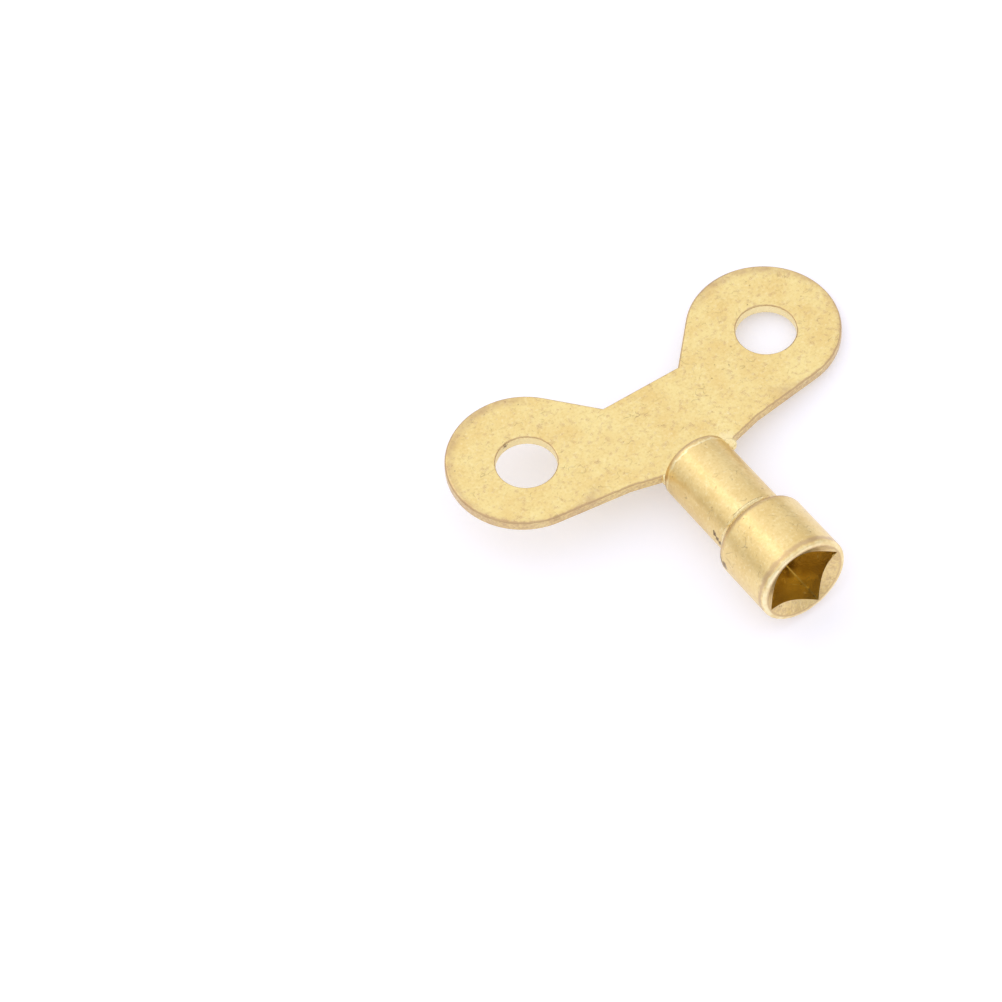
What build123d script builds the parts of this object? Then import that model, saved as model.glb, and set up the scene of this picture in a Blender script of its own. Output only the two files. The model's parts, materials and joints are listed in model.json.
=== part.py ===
from build123d import *
from math import acos, asin, atan2, cos, degrees, hypot, radians, sin, sqrt, tan
import os

# Radiator bleed key: a flat two-lobed wing plate, brazed into a round shank
# that carries a thicker socket head. All sizes are in millimetres.
#
# The pieces are first made in the tool's own frame: X runs along the wings,
# the tool axis runs along -Y towards the mouth, and Z is up. "Forward" below
# is a distance along the tool axis from the line through the lobe centres.

# Wing plate
lobe_spacing = 25.0
lobe_radius = 6.8
plate_thickness = 1.1
plate_edge_radius = 0.25
eye_diameter = 5.35
eye_edge_radius = 0.15
eye_forward = 0.4
waist_half_width = 3.9
waist_forward = -0.63
shoulder_half_width = 6.56
shoulder_forward = 7.6
root_half_width = 3.5
root_forward = 8.4
tongue_width = 4.0
tongue_length = 3.6
plate_bend = 5.3          # degrees the wings rise behind the shank

# Shank
shank_diameter = 6.5
shank_offset = -0.65      # the shank is set a little left of the plate's middle
shank_end_radius = 0.5

# Socket head
neck_forward = 17.8
mouth_forward = 24.7
head_diameter = 8.4
head_shoulder_radius = 0.9
mouth_edge_radius = 0.3
socket_across_flats = 5.2
socket_depth = 4.8
socket_turn = 65.5        # degrees from the wings to a flat's normal
countersink_angle = 120.0

# Brazing
wing_bead = 0.6
wing_bead_overhang = 0.25
neck_bead = 0.5

# Values that follow
half_plate = plate_thickness / 2
shank_radius = shank_diameter / 2
head_radius = head_diameter / 2
eye_radius = eye_diameter / 2
spigot_radius = socket_across_flats / 2
socket_floor = mouth_forward - socket_depth
mouth_cone_radius = socket_across_flats / sqrt(2)
tool_axis = Axis((shank_offset, 0, 0), (0, -1, 0))
bend_line = Axis((0, -root_forward, 0), (1, 0, 0))


def plan(x, forward):
    """Point on the plan of the plate."""
    return Vector(x, -forward)


def tangent_point(centre, radius, outside, side):
    """Where a line from the outside point touches a circle."""
    line = outside - centre
    turn = acos(radius / line.length)
    angle = atan2(line.Y, line.X) + side * turn
    return centre + Vector(radius * cos(angle), radius * sin(angle))


def wing_outline():
    """Right half of the plate's outline, from the waist round the lobe to the root."""
    centre = plan(lobe_spacing / 2, 0)
    waist = plan(waist_half_width, waist_forward)
    shoulder = plan(shoulder_half_width, shoulder_forward)
    root = plan(root_half_width, root_forward)
    lobe_start = tangent_point(centre, lobe_radius, waist, -1)
    lobe_end = tangent_point(centre, lobe_radius, shoulder, 1)
    lobe_tip = centre + Vector(lobe_radius, 0)
    return [
        Line(plan(0, waist_forward), waist),
        Line(waist, lobe_start),
        ThreePointArc(lobe_start, lobe_tip, lobe_end),
        Line(lobe_end, shoulder),
        Line(shoulder, root),
        Line(root, plan(0, root_forward)),
    ]


def is_root_edge(edge):
    """True for the straight front edge that butts against the shank."""
    box = edge.bounding_box()
    return abs(box.min.Y + root_forward) < 0.01 and abs(box.max.Y + root_forward) < 0.01


def level_edges(solid):
    """Edges that lie in the solid's top or bottom plane."""
    return [edge for edge in solid.edges() if edge.bounding_box().size.Z < 0.001]


def flat_wings():
    """The plate before bending: rounded outline with an eye in each lobe."""
    right = wing_outline()
    left = [mirror(edge, about=Plane.YZ) for edge in right]
    outline = make_face(Curve() + right + left)
    plate = extrude(outline, half_plate, both=True)
    outer = [edge for edge in level_edges(plate) if not is_root_edge(edge)]
    plate = fillet(outer, plate_edge_radius)
    for side in (-1, 1):
        eye = Cylinder(eye_radius, 2 * plate_thickness)
        plate -= Pos(side * lobe_spacing / 2, -eye_forward, 0) * eye
    rims = plate.edges().filter_by(GeomType.CIRCLE)
    rims = [rim for rim in rims if abs(rim.radius - eye_radius) < 0.01]
    return fillet(rims, eye_edge_radius)


def make_wing_plate():
    """Wing plate with the tongue that sits in the shank, bent up behind it."""
    middle = root_forward + tongue_length / 2
    tongue = Pos(shank_offset, -middle, 0) * Box(tongue_width, tongue_length, plate_thickness)
    plate = flat_wings() + tongue
    return plate.rotate(bend_line, plate_bend)


def rod(radius, start, end):
    """Cylinder on the tool axis between two forward distances."""
    blank = Cylinder(radius, end - start)
    return Pos(shank_offset, -(start + end) / 2, 0) * Rot(90, 0, 0) * blank


def make_shank(wing_plate):
    """Turned bar: slotted for the tongue, with a spigot that closes the socket."""
    bar = rod(shank_radius, root_forward, neck_forward)
    end_rim = bar.edges().sort_by(Axis.Y)[-1]
    bar = fillet(end_rim, shank_end_radius)
    bar += rod(spigot_radius, neck_forward, socket_floor)
    return bar - wing_plate


def spun(edges):
    """Solid of revolution about the tool axis from a closed profile."""
    return revolve(make_face(Curve() + edges), tool_axis)


def profile_point(radius, forward):
    """Point of a turned profile, on the right of the tool axis."""
    return Vector(shank_offset + radius, -forward)


def square_socket():
    """Square hole from its floor to just outside the mouth."""
    length = socket_depth + 1
    middle = socket_floor + length / 2
    blank = Box(socket_across_flats, length, socket_across_flats)
    return Pos(shank_offset, -middle, 0) * Rot(0, -socket_turn, 0) * blank


def mouth_cone():
    """Shallow drill cone that leads a spindle into the square."""
    depth = mouth_cone_radius / tan(radians(countersink_angle / 2))
    rim = profile_point(mouth_cone_radius, mouth_forward)
    centre = profile_point(0, mouth_forward)
    tip = profile_point(0, mouth_forward - depth)
    return spun([Line(centre, rim), Line(rim, tip), Line(tip, centre)])


def rim_circles(solid, forward):
    """The head's outer circular edges at one forward distance."""
    circles = solid.edges().filter_by(GeomType.CIRCLE)
    circles = [edge for edge in circles if abs(edge.radius - head_radius) < 0.01]
    return [edge for edge in circles if abs(edge.center().Y + forward) < 0.01]


def make_socket_head():
    """Thicker sleeve with a rounded shoulder and a countersunk square socket."""
    head = rod(head_radius, neck_forward, mouth_forward)
    head = fillet(rim_circles(head, neck_forward), head_shoulder_radius)
    head = fillet(rim_circles(head, mouth_forward), mouth_edge_radius)
    head -= rod(spigot_radius, neck_forward - 1, socket_floor)
    return head - square_socket() - mouth_cone()


def make_wing_braze(wing_plate):
    """Filler in the corners between the plate and the shank's end face."""
    height = half_plate + wing_bead
    back = wing_bead - root_forward
    profile = Polyline(
        (0, -root_forward, height),
        (0, back, half_plate),
        (0, back, -half_plate),
        (0, -root_forward, -height),
        close=True,
    )
    bar = extrude(make_face(profile), head_diameter, dir=(1, 0, 0), both=True)
    reach = rod(shank_radius + wing_bead_overhang, root_forward - wing_bead, root_forward)
    return (bar & reach) - wing_plate


def make_neck_braze(socket_head):
    """Concave ring of filler in the corner between the shank and the head."""
    corner = profile_point(shank_radius, neck_forward + neck_bead)
    on_head = profile_point(shank_radius + neck_bead, neck_forward + neck_bead)
    crest = profile_point(shank_radius + neck_bead, neck_forward)
    on_shank = profile_point(shank_radius, neck_forward - neck_bead)
    reach = neck_bead * (1 - sqrt(0.5))
    hollow = profile_point(shank_radius + reach, neck_forward - reach)
    ring = spun([
        Line(corner, on_head),
        Line(on_head, crest),
        ThreePointArc(crest, hollow, on_shank),
        Line(on_shank, corner),
    ])
    return ring - socket_head


def resting_tilt():
    """Degrees the tool axis rises towards the mouth when the key is laid down.

    The key lies on the shank's rounded end and the head's rounded shoulder. They are two
    circles seen from the side, and the surface is the line that touches both from below.
    """
    run = neck_forward + head_shoulder_radius - root_forward - shank_end_radius
    fall = (head_radius - head_shoulder_radius) - (shank_radius - shank_end_radius)
    lift = asin((head_shoulder_radius - shank_end_radius) / hypot(run, fall))
    return degrees(atan2(fall, run) + lift)


def resting_turn(roll):
    """Turn from the tool's own frame to the surface: a roll about the tool axis, then the tilt."""
    to_axis = Pos(-shank_offset, 0, 0)
    return Rot(-resting_tilt(), 0, 0) * to_axis.inverse() * Rot(0, roll, 0) * to_axis


def lowest_point(turn, centre, normal, rim_radius, rounding):
    """Height of the lowest point of a rounded circular rim after a turn."""
    middle = (turn * Pos(centre)).position
    slope = ((turn * Pos(centre + normal)).position - middle).Z
    return middle.Z - rim_radius * sqrt(1 - slope ** 2) - rounding


def lobe_clearance(roll):
    """Gap between the right lobe and the surface that the shank's end touches."""
    turn = resting_turn(roll)
    hinge = Vector(0, -root_forward, 0)
    under_lobe = Vector(lobe_spacing / 2, 0, plate_edge_radius - half_plate)
    lobe = (under_lobe - hinge).rotate(Axis.X, plate_bend) + hinge
    lobe_normal = Vector(0, 0, 1).rotate(Axis.X, plate_bend)
    shank_end = Vector(shank_offset, -root_forward - shank_end_radius, 0)
    lobe_rim = lobe_radius - plate_edge_radius
    shank_rim = shank_radius - shank_end_radius
    surface = lowest_point(turn, shank_end, Vector(0, 1, 0), shank_rim, shank_end_radius)
    return lowest_point(turn, lobe, lobe_normal, lobe_rim, plate_edge_radius) - surface


def resting_roll():
    """Degrees the key rolls before its right lobe touches the surface, by halving."""
    low, high = 0.0, 30.0
    while high - low > 0.001:
        middle = (low + high) / 2
        if lobe_clearance(middle) > 0:
            low = middle
        else:
            high = middle
    return low


def laid_down(pieces):
    """Turn the pieces to the resting pose, with the middle of their base at the origin."""
    turn = resting_turn(resting_roll())
    turned = {name: turn * piece for name, piece in pieces.items()}
    solids = [solid for piece in turned.values() for solid in piece.solids()]
    box = Compound(solids).bounding_box()
    shift = Pos(-box.center().X, -box.center().Y, -box.min.Z)
    print("overall", box.size)
    return {name: shift * piece for name, piece in turned.items()}


def main():
    wing_plate = make_wing_plate()
    socket_head = make_socket_head()
    pieces = {
        "wing_plate": wing_plate,
        "shank": make_shank(wing_plate),
        "socket_head": socket_head,
        "wing_braze": make_wing_braze(wing_plate),
        "neck_braze": make_neck_braze(socket_head),
    }
    os.makedirs("parts", exist_ok=True)
    for name, piece in laid_down(pieces).items():
        export_step(piece, f"parts/{name}.step")


if __name__ == "__main__":
    main()
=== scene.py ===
import json
from math import copysign, cos, radians, sin, tau

import bpy
from mathutils import Matrix, Vector, noise


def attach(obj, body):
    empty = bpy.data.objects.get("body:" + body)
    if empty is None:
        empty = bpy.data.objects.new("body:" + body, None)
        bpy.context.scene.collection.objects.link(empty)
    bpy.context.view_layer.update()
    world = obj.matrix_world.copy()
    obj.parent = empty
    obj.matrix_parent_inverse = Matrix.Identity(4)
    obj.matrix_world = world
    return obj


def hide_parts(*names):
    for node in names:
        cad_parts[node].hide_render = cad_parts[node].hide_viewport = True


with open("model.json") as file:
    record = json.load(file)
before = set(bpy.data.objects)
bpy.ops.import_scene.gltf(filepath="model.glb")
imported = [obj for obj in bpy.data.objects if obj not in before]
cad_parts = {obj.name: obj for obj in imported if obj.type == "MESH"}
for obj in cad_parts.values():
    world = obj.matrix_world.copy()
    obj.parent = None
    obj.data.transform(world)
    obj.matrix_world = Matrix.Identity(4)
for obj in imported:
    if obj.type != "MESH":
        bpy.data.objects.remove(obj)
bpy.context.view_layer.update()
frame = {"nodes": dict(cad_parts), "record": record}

mm = 0.001
nodes = frame["nodes"]
mounts = {mount["name"]: mount for mount in frame["record"]["mounts"]}

# The socket's axis points out of its mouth, and the plate's normal points up
mouth = Vector(mounts["spindle_socket"]["pos_m"])
outward = Vector(mounts["spindle_socket"]["axis"]).normalized()
left_eye = Vector(mounts["left_eye"]["pos_m"])
right_eye = Vector(mounts["right_eye"]["pos_m"])
plate_up = Vector(mounts["left_eye"]["axis"]).normalized()
to_right = (right_eye - left_eye).normalized()
to_top = to_right.cross(-outward)

# Sizes as the CAD model has them; forward is measured from the line through the lobes' centres
shank_radius = 3.25 * mm
mouth_forward = 24.7 * mm
root_forward = 8.4 * mm
plate_top = 0.55 * mm
lobe_radius = 6.8 * mm

# Where colours change: this near to an eye's centre, this far from the tool axis on the head's flat
# rim, and this far behind the mouth on the head's shoulder
pale_near_eye = 2.95 * mm
rim_inner = 3.75 * mm
shoulder_depth = 5.95 * mm

# Filler bead round the plate's root: its middle, half sizes and thickness, and a lump at each side,
# each lump with its centre and radii across, forward and up
bead_centre = 0.45 * mm
bead_reach = 3.42 * mm
bead_rise = 0.50 * mm
bead_thin = 0.14 * mm
bead_left = 0.30 * mm
bead_right = 0.34 * mm
bead_squareness = 0.35
bead_stretch = 1.7
bead_shift = 0.06 * mm
bead_lumpiness = 0.30
bead_lump_size = 0.7 * mm
root_lumps = (((3.62 * mm, 8.44 * mm, 0.02 * mm), (0.50 * mm, 0.66 * mm, 0.58 * mm)),
              ((-2.98 * mm, 8.50 * mm, 0.05 * mm), (0.30 * mm, 0.52 * mm, 0.56 * mm)))
melt_voxel = 0.05 * mm
melt_smoothing = 8

# Filler fillet at the head's neck
neck_start = 17.14 * mm
neck_fillet = 0.80 * mm
neck_arc = radians(67)
neck_depth = 0.3 * mm
neck_unevenness = 0.035 * mm
neck_lump_size = 0.8 * mm

# Marks on the metal, and one painted highlight on the plate, each across the tool axis, forward and
# above it
neck_pits = ((-3.22 * mm, 16.20 * mm, 0.40 * mm), (-3.25 * mm, 16.62 * mm, 0.15 * mm),
             (-3.25 * mm, 17.02 * mm, -0.05 * mm))
# Painted highlight: the centre of a pale patch on the plate just right of the root
root_highlight = (3.55 * mm, root_forward - 0.15 * mm, plate_top)
shoulder_mark = (-4.05 * mm, 18.25 * mm, -0.05 * mm)
sleeve_mark = (-4.18 * mm, 19.0 * mm, -0.40 * mm)

# A small dark nick on the far rim of the left eye
eye_nick = left_eye - to_right * 0.45 * mm - outward * 2.82 * mm + plate_up * 0.5 * mm

# Camera: where it looks, from which side, and how far away it stands
camera_target = Vector((-15.71, 8.29, 3.0)) * mm
camera_azimuth = -21.13
camera_elevation = 57.47
camera_roll = -15.71
camera_distance = 427.6 * mm
camera_lens = 179.46
camera_sensor = 36

# The white tent round the key: its brightest side, and how bright that, its top and its foot are
tent_bright_side = (-0.25, 0.65, 0.72)
tent_glow = 0.13
tent_top = 1.05
tent_horizon = 0.62
tent_white = (1.0, 0.98, 0.985, 1)

# Softbox and floor
softbox_side = (-0.22, 0.66, 0.72)
softbox_distance = 0.60
softbox_size = 0.16
softbox_power = 0.07
floor_half = 1.5
floor_glow = 0.29
floor_white = (1.0, 1.03, 1.18, 1)
floor_blueness = 1.07

# Brass in its different states, and the colours of its painted shade and highlights
pale_gold = (0.905, 0.75, 0.35, 1)
deep_gold = (0.84, 0.64, 0.27, 1)
turned_gold = (0.87, 0.69, 0.335, 1)
turned_deep = (0.78, 0.58, 0.245, 1)
olive_gold = (0.66, 0.48, 0.19, 1)
# Pale brass for the grain and the shank's bright line, and also the painted highlight on the mouth's rim
bright_gold = (0.99, 0.88, 0.56, 1)
# Brown for the countersink, the shoulder and the shank's end, and also painted shade on the plate's
# edges and round the mouth
edge_brown = (0.52, 0.345, 0.205, 1)
# Pale filler brass, and also the colour of the painted highlight by the root
filler_gold = (0.96, 0.83, 0.48, 1)
filler_deep = (0.88, 0.70, 0.33, 1)
socket_gold = (1.0, 0.83, 0.37, 1)
# Painted shade: the socket's walls turn to this colour with depth
socket_shade_gold = (0.70, 0.51, 0.13, 1)
corner_gold = (1.0, 0.92, 0.60, 1)
# Dark tarnish for real marks, and also painted shade deep in the socket
tarnish_and_shade = (0.13, 0.07, 0.04, 1)


# ---------------------------------------------------------------- shader nodes

class Shader:
    """A material's node tree, with short calls to add nodes and join them."""

    def __init__(self, name):
        self.material = bpy.data.materials.new(name)
        self.material.use_nodes = True
        self.tree = self.material.node_tree
        self.surface = self.tree.nodes["Principled BSDF"]
        self.place = self.tree.nodes.new("ShaderNodeTexCoord").outputs["Object"]

    def node(self, kind, inputs=(), **settings):
        """Adds a node; each input is a number to set or a socket to link."""
        node = self.tree.nodes.new(kind)
        for key, value in settings.items():
            setattr(node, key, value)
        for key, value in dict(inputs).items():
            self.feed(node.inputs[key], value)
        return node

    def feed(self, socket, value):
        """Links a socket to another one, or sets its value."""
        if isinstance(value, bpy.types.NodeSocket):
            self.tree.links.new(value, socket)
        else:
            socket.default_value = value

    def set(self, **inputs):
        """Sets or links the shader's own sockets, with _ for a space in their names."""
        for key, value in inputs.items():
            self.feed(self.surface.inputs[key.replace("_", " ")], value)

    def noise(self, size, detail=3.0, roughness=0.55, place=None, distortion=0.0):
        """Soft noise whose features are about this size, in metres."""
        inputs = {"Vector": place or self.place, "Scale": 1 / size, "Detail": detail,
                  "Roughness": roughness, "Distortion": distortion}
        return self.node("ShaderNodeTexNoise", inputs).outputs["Fac"]

    def ramp(self, value, low, high, to_low=0.0, to_high=1.0):
        """Maps low..high to to_low..to_high and stops at both ends."""
        inputs = {"Value": value, "From Min": low, "From Max": high, "To Min": to_low, "To Max": to_high}
        return self.node("ShaderNodeMapRange", inputs).outputs["Result"]

    def band(self, value, start, full, last, end):
        """1 from full to last, and falling to 0 at start and end."""
        return self.both(self.ramp(value, start, full), self.ramp(value, end, last))

    def math(self, operation, first, second=0.0):
        return self.node("ShaderNodeMath", {0: first, 1: second}, operation=operation).outputs[0]

    def both(self, first, second):
        return self.math("MULTIPLY", first, second)

    def either(self, first, second):
        return self.math("MAXIMUM", first, second)

    def opposite(self, mask):
        return self.math("SUBTRACT", 1.0, mask)

    def mix(self, factor, first, second):
        """Mixes two colours."""
        inputs = {0: factor, 6: first, 7: second}
        return self.node("ShaderNodeMix", inputs, data_type="RGBA").outputs[2]

    def mix_value(self, factor, first, second):
        """Mixes two numbers."""
        inputs = {"Factor": factor, "A": first, "B": second}
        return self.node("ShaderNodeMix", inputs).outputs["Result"]

    def stain(self, mask, colour, strength=None):
        """Lays a colour over the brass where the mask is."""
        factor = mask if strength is None else self.both(mask, strength)
        self.colour = self.mix(factor, self.colour, colour)

    def wavering(self, value, size, amount):
        """The value moved up and down a little by noise, so that its edges come out ragged."""
        return self.math("ADD", value, self.ramp(self.noise(size, 3), 0.3, 0.7, -amount, amount))

    def vector(self, operation, first, second, output=0):
        inputs = {0: first, 1: second}
        return self.node("ShaderNodeVectorMath", inputs, operation=operation).outputs[output]

    def along(self, origin, direction):
        """Distance from origin along a direction, at each point of the surface."""
        offset = self.vector("SUBTRACT", self.place, origin)
        return self.vector("DOT_PRODUCT", offset, direction, "Value")

    def distance(self, origin):
        """Distance of each point of the surface from a place."""
        return self.vector("DISTANCE", self.place, origin, "Value")

    def facing(self, direction):
        """How far the surface faces a direction: 1 towards it, 0 across it."""
        normal = self.tree.nodes.new("ShaderNodeTexCoord").outputs["Normal"]
        return self.vector("DOT_PRODUCT", normal, direction, "Value")

    def bump(self, height, distance, normal=None):
        inputs = {"Height": height, "Distance": distance, "Strength": 1.0}
        if normal is not None:
            inputs["Normal"] = normal
        return self.node("ShaderNodeBump", inputs).outputs["Normal"]

    def finished(self):
        """Joins the colour, roughness and bump to the shader, as bare metal."""
        self.set(Base_Color=self.colour, Metallic=1.0, Roughness=self.rough, Normal=self.normal)
        return self.material


# ---------------------------------------------------------------- brass

def at_tool(x, forward, height):
    """Point given across the tool axis, forward along it from the lobes' line, and above it."""
    return mouth + to_right * x + outward * (forward - mouth_forward) + to_top * height


def hairlines(s, size, width, share, seed):
    """Sparse curly hairline marks: thin contour lines of a noise, kept in a few places only."""
    moved = s.vector("ADD", s.place, (seed * mm, 0, 0))
    wander = s.noise(size, 1, 0.5, place=moved)
    line = s.ramp(s.math("ABSOLUTE", s.math("SUBTRACT", wander, 0.5)), width, 0.0)
    kept = s.ramp(s.noise(size * 1.3, 2, place=moved), 1 - share, 1.08 - share)
    return s.both(line, kept)


def specks(s, spacing):
    """Tiny round specks about this far apart, gathered in loose groups."""
    cells = s.node("ShaderNodeTexVoronoi", {"Vector": s.place, "Scale": 1 / spacing}).outputs["Distance"]
    return s.both(s.ramp(cells, 0.12, 0.04), s.ramp(s.noise(1.8 * mm, 2), 0.53, 0.62))


def spot(s, place, size, ragged=0.35):
    """Ragged mark round a point: 1 inside it, and 0 beyond about its size."""
    blur = s.ramp(s.noise(0.22 * mm, 3), 0.3, 0.7, -ragged * size, ragged * size)
    return s.ramp(s.math("ADD", s.distance(place), blur), size, size * 0.55)


def brass(name, light, dark, rough, marks):
    """Tumbled brass: cloudy colour, a fine grain, hairline marks and brown specks."""
    s = Shader(name)
    clouds = s.ramp(s.noise(2.6 * mm, 5, 0.6), 0.36, 0.66)
    s.colour = s.mix(clouds, light, dark)
    grain = s.noise(0.26 * mm, 3, 0.62)
    s.stain(s.ramp(grain, 0.48, 0.28, to_high=0.48), olive_gold)
    s.stain(s.ramp(grain, 0.56, 0.74, to_high=0.50), bright_gold)
    long_lines = hairlines(s, size=1.3 * mm, width=0.011, share=0.44, seed=3)
    short_lines = hairlines(s, size=0.7 * mm, width=0.016, share=0.40, seed=17)
    mark = s.either(s.both(s.either(long_lines, short_lines), 0.75), specks(s, 0.8 * mm))
    s.stain(mark, tarnish_and_shade, marks)
    height = s.math("SUBTRACT", grain, s.both(mark, 1.2))
    wave = s.bump(s.noise(1.6 * mm, 2), 0.05 * mm)
    s.normal = s.bump(height, 0.020 * mm, normal=wave)
    s.rough = s.ramp(s.noise(0.5 * mm, 3), 0.3, 0.7, *rough)
    return s


def lobe_edge(s, eye, inward):
    """The outer rim of a lobe, away from the plate's middle."""
    rim = s.ramp(s.distance(eye), lobe_radius - 0.75 * mm, lobe_radius - 0.15 * mm)
    return s.both(rim, s.ramp(s.along(eye, inward), 4.2 * mm, 2.0 * mm))


def plate_brass():
    """Stamped sheet: painted shade on the lobes' outer rims, in a brown line where each edge turns over
    and on the side walls, with pale eye walls and a painted highlight by the root.
    """
    s = brass("plate_brass", pale_gold, deep_gold, rough=(0.26, 0.42), marks=0.5)
    turn = s.math("ABSOLUTE", s.facing(plate_up))
    patches = s.ramp(s.noise(0.8 * mm, 3), 0.35, 0.65, 0.25, 0.75)
    # Painted shade: a brown band along the outer rim of each lobe
    edge_shade = s.either(lobe_edge(s, left_eye, to_right), lobe_edge(s, right_eye, -to_right))
    s.stain(s.both(edge_shade, s.both(patches, 0.80)), edge_brown)
    # Painted highlight: a pale patch on the plate beside the root
    s.stain(spot(s, at_tool(*root_highlight), 1.0 * mm), filler_gold, 0.75)
    near_eye = s.math("MINIMUM", s.distance(left_eye), s.distance(right_eye))
    wall = s.ramp(near_eye, pale_near_eye, pale_near_eye - 0.15 * mm)
    # Painted shade: a brown line along the rounded edges where the sheet turns over
    ragged = s.wavering(turn, 0.5 * mm, 0.10)
    s.stain(s.band(ragged, 0.98, 0.84, 0.50, 0.25), edge_brown, 0.72)
    # Painted shade: patchy brown on the side walls away from the eyes, which stay pale
    side = s.ramp(turn, 0.35, 0.1)
    patchy_side_shade = s.ramp(s.noise(0.25 * mm, 2), 0.4, 0.6, 0.15, 0.60)
    s.stain(s.both(s.both(side, patchy_side_shade), s.opposite(wall)), edge_brown)
    s.stain(s.both(side, wall), filler_gold, 0.8)
    s.stain(spot(s, eye_nick, 0.34 * mm), tarnish_and_shade, 0.8)
    return s.finished()


def behind_mouth(s):
    """Distance back from the mouth along the tool axis."""
    return s.both(s.along(mouth, outward), -1.0)


def shank_brass():
    """Turned rod: browned end rim with a bright line, and pits at the neck's left."""
    s = brass("shank_brass", turned_gold, turned_deep, rough=(0.29, 0.41), marks=0.55)
    end = mouth_forward - root_forward
    ragged = s.wavering(behind_mouth(s), 0.6 * mm, 0.12 * mm)
    s.stain(s.ramp(ragged, end - 0.65 * mm, end - 0.45 * mm, to_high=0.55), edge_brown)
    line = s.band(ragged, end - 0.86 * mm, end - 0.76 * mm, end - 0.72 * mm, end - 0.62 * mm)
    s.stain(line, bright_gold, 0.8)
    pits = 0.0
    for place in neck_pits:
        pits = s.either(pits, spot(s, at_tool(*place), 0.29 * mm, ragged=0.5))
    s.stain(pits, tarnish_and_shade, 0.9)
    s.normal = s.bump(s.opposite(pits), 0.10 * mm, normal=s.normal)
    return s.finished()


def paint_rim(s, ragged, outside):
    """Painted shade as a brown band round the sleeve just behind the mouth, and a painted highlight as a
    brighter lip.
    """
    # Painted shade: a brown band on the rounding just behind the mouth
    band = s.band(ragged, 0.20 * mm, 0.36 * mm, 0.60 * mm, 0.85 * mm)
    s.stain(s.both(band, outside), edge_brown, 0.60)
    # Painted highlight: a brighter, patchy lip along the mouth's rim
    lip = s.both(s.ramp(ragged, 0.22 * mm, 0.10 * mm), s.ramp(s.noise(0.9 * mm, 3), 0.4, 0.6, 0.2, 0.8))
    s.stain(s.both(lip, outside), bright_gold)


def paint_socket(s, depth, ragged, radius, inside):
    """Golden walls with painted shade that darkens them with depth, and a pale line along each corner.
    """
    cloudy = s.ramp(s.noise(1.5 * mm, 4, distortion=0.8), 0.34, 0.58)
    # Painted shade: the walls darken with depth
    depth_shade = s.ramp(depth, 1.6 * mm, 3.6 * mm, 0.12, 1.0)
    wall = s.mix(s.both(cloudy, depth_shade), socket_gold, socket_shade_gold)
    # Painted shade: deeper still the walls turn nearly black, in clouds
    deep_shade = s.both(s.ramp(ragged, 3.1 * mm, 4.1 * mm, to_high=0.6), cloudy)
    wall = s.mix(deep_shade, wall, tarnish_and_shade)
    corner = s.both(s.ramp(radius, 3.585 * mm, 3.635 * mm), 0.8)
    s.stain(inside, s.mix(corner, wall, corner_gold))
    s.rough = s.mix_value(inside, s.rough, 0.24)


def paint_countersink(s, radius, face):
    """Rough cone round the socket, and a brown line where it meets the rim."""
    pitted = s.ramp(s.noise(0.32 * mm, 6, 0.85), 0.56, 0.36, to_high=0.70)
    lune = s.both(face, s.ramp(radius, 3.70 * mm, 3.60 * mm))
    s.stain(s.both(lune, pitted), edge_brown)
    line = s.band(radius, 3.60 * mm, 3.68 * mm, 3.74 * mm, 3.86 * mm)
    s.stain(s.both(line, face), edge_brown, 0.55)


def head_brass():
    """Sleeve: browned shoulder, a rim with painted shade and a painted highlight, rough countersink and
    a deep golden socket with painted shade.
    """
    s = brass("head_brass", turned_gold, turned_deep, rough=(0.27, 0.38), marks=0.55)
    depth = behind_mouth(s)
    beside = s.math("SUBTRACT", s.math("POWER", s.distance(mouth), 2), s.math("POWER", depth, 2))
    radius = s.math("SQRT", s.either(beside, 0.0))
    ragged = s.wavering(depth, 0.6 * mm, 0.10 * mm)
    outside = s.ramp(radius, rim_inner, rim_inner + 0.1 * mm)
    face = s.ramp(s.facing(outward), 0.30, 0.45)
    inside = s.both(s.opposite(outside), s.opposite(face))
    paint_rim(s, ragged, outside)
    paint_socket(s, depth, ragged, radius, inside)
    paint_countersink(s, radius, face)
    shoulder = s.ramp(ragged, shoulder_depth, shoulder_depth + 0.4 * mm)
    s.stain(s.both(shoulder, s.ramp(s.noise(0.9 * mm, 3), 0.3, 0.6, 0.30, 0.62)), edge_brown)
    near_neck = spot(s, at_tool(*shoulder_mark), 0.62 * mm)
    on_sleeve = spot(s, at_tool(*sleeve_mark), 0.50 * mm)
    s.stain(s.either(near_neck, on_sleeve), tarnish_and_shade, 0.8)
    return s.finished()


def filler_brass():
    """Melted filler: paler and smoother than the pieces it joins."""
    return brass("filler_brass", filler_gold, filler_deep, rough=(0.22, 0.34), marks=0.4).finished()


def paint(node, material):
    """Gives every face of a CAD node one material."""
    mesh = nodes[node].data
    mesh.materials.clear()
    mesh.materials.append(material)
    for face in mesh.polygons:
        face.material_index = 0


# ---------------------------------------------------------------- filler

def add_filler(name, verts, faces, material):
    """Smooth closed mesh of filler that rides with the key."""
    mesh = bpy.data.meshes.new(name)
    mesh.from_pydata(verts, [], faces)
    mesh.polygons.foreach_set("use_smooth", [True] * len(faces))
    mesh.materials.append(material)
    piece = bpy.data.objects.new(name, mesh)
    bpy.context.scene.collection.objects.link(piece)
    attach(piece, "root")
    return piece


def closed_ring(rings):
    """Verts and faces of a tube whose rings of equal length follow each other round a loop."""
    count, size = len(rings), len(rings[0])
    verts = [point for ring in rings for point in ring]
    faces = []
    for ring in range(count):
        for k in range(size):
            a, b = ring * size + k, ring * size + (k + 1) % size
            c, d = (ring + 1) % count * size + (k + 1) % size, (ring + 1) % count * size + k
            faces.append((a, b, c, d))
    return verts, faces


def lump(size, *place):
    """Smooth random value of about -1 to 1 whose lumps are of this size."""
    return noise.noise(Vector(place) / size)


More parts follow.
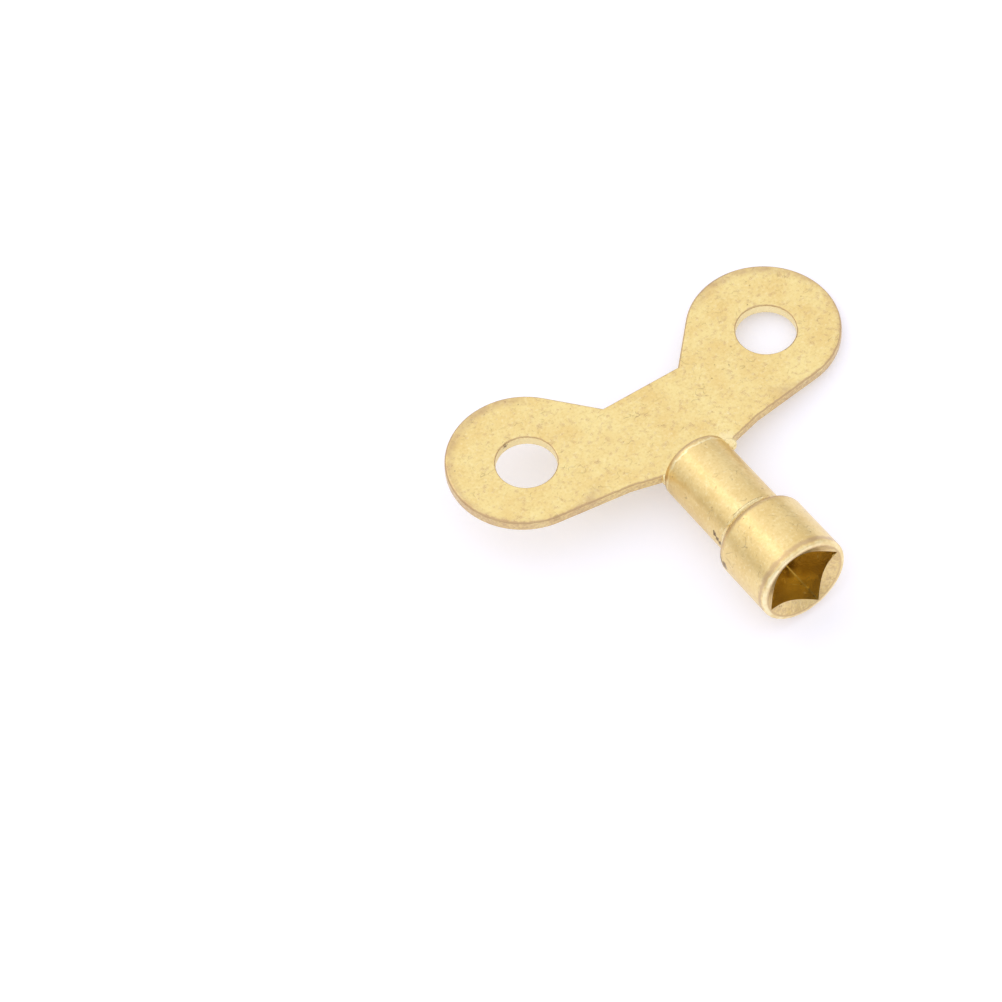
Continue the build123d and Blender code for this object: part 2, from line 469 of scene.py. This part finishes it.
def blob(centre, radii, seed, rings=12, sides=20):
    """Verts and faces of a lumpy ball, stretched along the tool's directions."""
    verts, faces = [], []
    for ring in range(1, rings):
        for turn in range(sides):
            down, round_ = tau / 2 * ring / rings, tau * turn / sides
            way = Vector((sin(down) * cos(round_), sin(down) * sin(round_), cos(down)))
            grown = 1 + 0.25 * noise.noise(way * 1.7 + Vector((seed, 0, 0)))
            verts.append(at_tool(*(c + r * w * grown for c, r, w in zip(centre, radii, way))))
    for ring in range(rings - 2):
        for turn in range(sides):
            a, b = ring * sides + turn, ring * sides + (turn + 1) % sides
            faces.append((a, b, b + sides, a + sides))
    last = (rings - 2) * sides
    faces.append(tuple(reversed(range(sides))))
    faces.append(tuple(range(last, last + sides)))
    return verts, faces


def bead_ring(way, sides=16):
    """Section of the root bead where its loop points this way, from the plate's right edge upwards."""
    across, above = cos(way), sin(way)
    x = bead_centre + bead_reach * copysign(abs(across) ** bead_squareness, across)
    height = bead_rise * copysign(abs(above) ** bead_squareness, above)
    at_edge = bead_right if across > 0 else bead_left
    thick = bead_thin + (at_edge - bead_thin) * abs(across) ** 6
    outwards = Vector((across ** 3, above)).normalized()
    ring = []
    for k in range(sides):
        turn = tau * k / sides
        grown = thick * (1 + bead_lumpiness * lump(bead_lump_size, x, height, k * 0.1 * mm))
        out = grown * cos(turn)
        forward = root_forward + bead_shift + grown * bead_stretch * sin(turn)
        ring.append(at_tool(x + out * outwards.x, forward, height + out * outwards.y))
    return ring


def make_wing_braze(material, steps=120):
    """Melted filler round the plate's root: thin over the shank, thick at the plate's edges."""
    verts, faces = closed_ring([bead_ring(tau * step / steps) for step in range(steps)])
    for seed, (centre, radii) in enumerate(root_lumps):
        more_verts, more_faces = blob(centre, radii, seed)
        faces += [tuple(index + len(verts) for index in face) for face in more_faces]
        verts += more_verts
    piece = add_filler("wing_braze_bead", verts, faces, material)
    melt = piece.modifiers.new("melt", "REMESH")
    melt.mode = "VOXEL"
    melt.voxel_size = melt_voxel
    melt.use_smooth_shade = True
    flow = piece.modifiers.new("flow", "SMOOTH")
    flow.iterations = melt_smoothing
    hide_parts("wing_braze")


def fillet_ring(way, arc=10):
    """Section of the neck's fillet: a hollow curve, closed by two corners inside the metal."""
    ring = []
    for k in range(arc + 1):
        turn = neck_arc * k / arc
        bumps = lump(neck_lump_size, 3 * cos(way) * mm, 3 * sin(way) * mm, k * 0.1 * mm)
        radius = shank_radius + neck_fillet * (1 - cos(turn)) + neck_unevenness * bumps
        ring.append((radius, neck_start + neck_fillet * sin(turn)))
    ring.append((shank_radius - neck_depth, neck_start + neck_fillet))
    ring.append((shank_radius - neck_depth, neck_start))
    return [at_tool(r * cos(way), forward, r * sin(way)) for r, forward in ring]


def make_neck_braze(material, steps=144):
    """Concave fillet of filler between the shank and the head's rounded shoulder."""
    rings = [fillet_ring(tau * step / steps) for step in range(steps)]
    piece = add_filler("neck_braze_fillet", *closed_ring(rings), material)
    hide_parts("neck_braze")


# ---------------------------------------------------------------- stage

def make_softbox():
    """Small square area light high up behind the key, facing it."""
    light = bpy.data.lights.new("top_softbox", "AREA")
    light.shape = "SQUARE"
    light.size = softbox_size
    light.energy = softbox_power
    lamp = bpy.data.objects.new("top_softbox", light)
    towards = Vector(softbox_side).normalized()
    lamp.location = towards * softbox_distance
    lamp.rotation_mode = "QUATERNION"
    lamp.rotation_quaternion = towards.to_track_quat("Z", "Y")
    bpy.context.scene.collection.objects.link(lamp)


def make_floor():
    """Pale floor that glows a little, so that its shadows stay light."""
    mesh = bpy.data.meshes.new("floor")
    half = floor_half
    corners = [(-half, -half, 0), (half, -half, 0), (half, half, 0), (-half, half, 0)]
    mesh.from_pydata(corners, [], [(0, 1, 2, 3)])
    floor = bpy.data.objects.new("floor", mesh)
    bpy.context.scene.collection.objects.link(floor)
    s = Shader("floor_white")
    shade = s.ramp(s.noise(60 * mm, 2), 0.3, 0.7, 0.77, 0.79)
    parts = {"Red": shade, "Green": shade, "Blue": s.both(shade, floor_blueness)}
    s.set(Base_Color=s.node("ShaderNodeCombineColor", parts).outputs[0], Roughness=0.9)
    s.set(Specular_IOR_Level=0.1, Emission_Color=floor_white, Emission_Strength=floor_glow)
    mesh.materials.append(s.material)


def make_world():
    """A white tent: dimmer at the horizon, and brightest high up behind the key."""
    world = bpy.data.worlds.new("studio")
    bpy.context.scene.world = world
    world.use_nodes = True
    tree = world.node_tree
    direction = tree.nodes.new("ShaderNodeTexCoord").outputs["Generated"]

    def rising(axis, low, high, to_low, to_high):
        dot = tree.nodes.new("ShaderNodeVectorMath")
        dot.operation = "DOT_PRODUCT"
        dot.inputs[1].default_value = Vector(axis).normalized()
        tree.links.new(direction, dot.inputs[0])
        ramp = tree.nodes.new("ShaderNodeMapRange")
        ramp.interpolation_type = "SMOOTHSTEP"
        ends = {"From Min": low, "From Max": high, "To Min": to_low, "To Max": to_high}
        for key, value in ends.items():
            ramp.inputs[key].default_value = value
        tree.links.new(dot.outputs["Value"], ramp.inputs["Value"])
        return ramp.outputs["Result"]

    total = tree.nodes.new("ShaderNodeMath")
    tree.links.new(rising((0, 0, 1), 0.02, 0.50, tent_horizon, tent_top), total.inputs[0])
    tree.links.new(rising(tent_bright_side, 0.72, 0.97, 0.0, tent_glow), total.inputs[1])
    background = tree.nodes["Background"]
    tree.links.new(total.outputs[0], background.inputs["Strength"])
    background.inputs["Color"].default_value = tent_white


def make_camera():
    """Long lens that looks down at the key, turned a little about its own axis."""
    camera = bpy.data.cameras.new("camera")
    camera.lens = camera_lens
    camera.sensor_width = camera_sensor
    camera.clip_start = 10 * mm
    lens = bpy.data.objects.new("camera", camera)
    azimuth, elevation = radians(camera_azimuth), radians(camera_elevation)
    back = Vector((sin(azimuth) * cos(elevation), -cos(azimuth) * cos(elevation), sin(elevation)))
    place = Matrix.Translation(camera_target + back * camera_distance)
    aim = back.to_track_quat("Z", "Y").to_matrix().to_4x4()
    lens.matrix_world = place @ aim @ Matrix.Rotation(radians(camera_roll), 4, "Z")
    bpy.context.scene.collection.objects.link(lens)
    bpy.context.scene.camera = lens


filler = filler_brass()
paint("wing_plate", plate_brass())
paint("shank", shank_brass())
paint("socket_head", head_brass())
make_wing_braze(filler)
make_neck_braze(filler)
make_softbox()
make_floor()
make_world()
make_camera()
bpy.context.scene.view_settings.view_transform = "Standard"
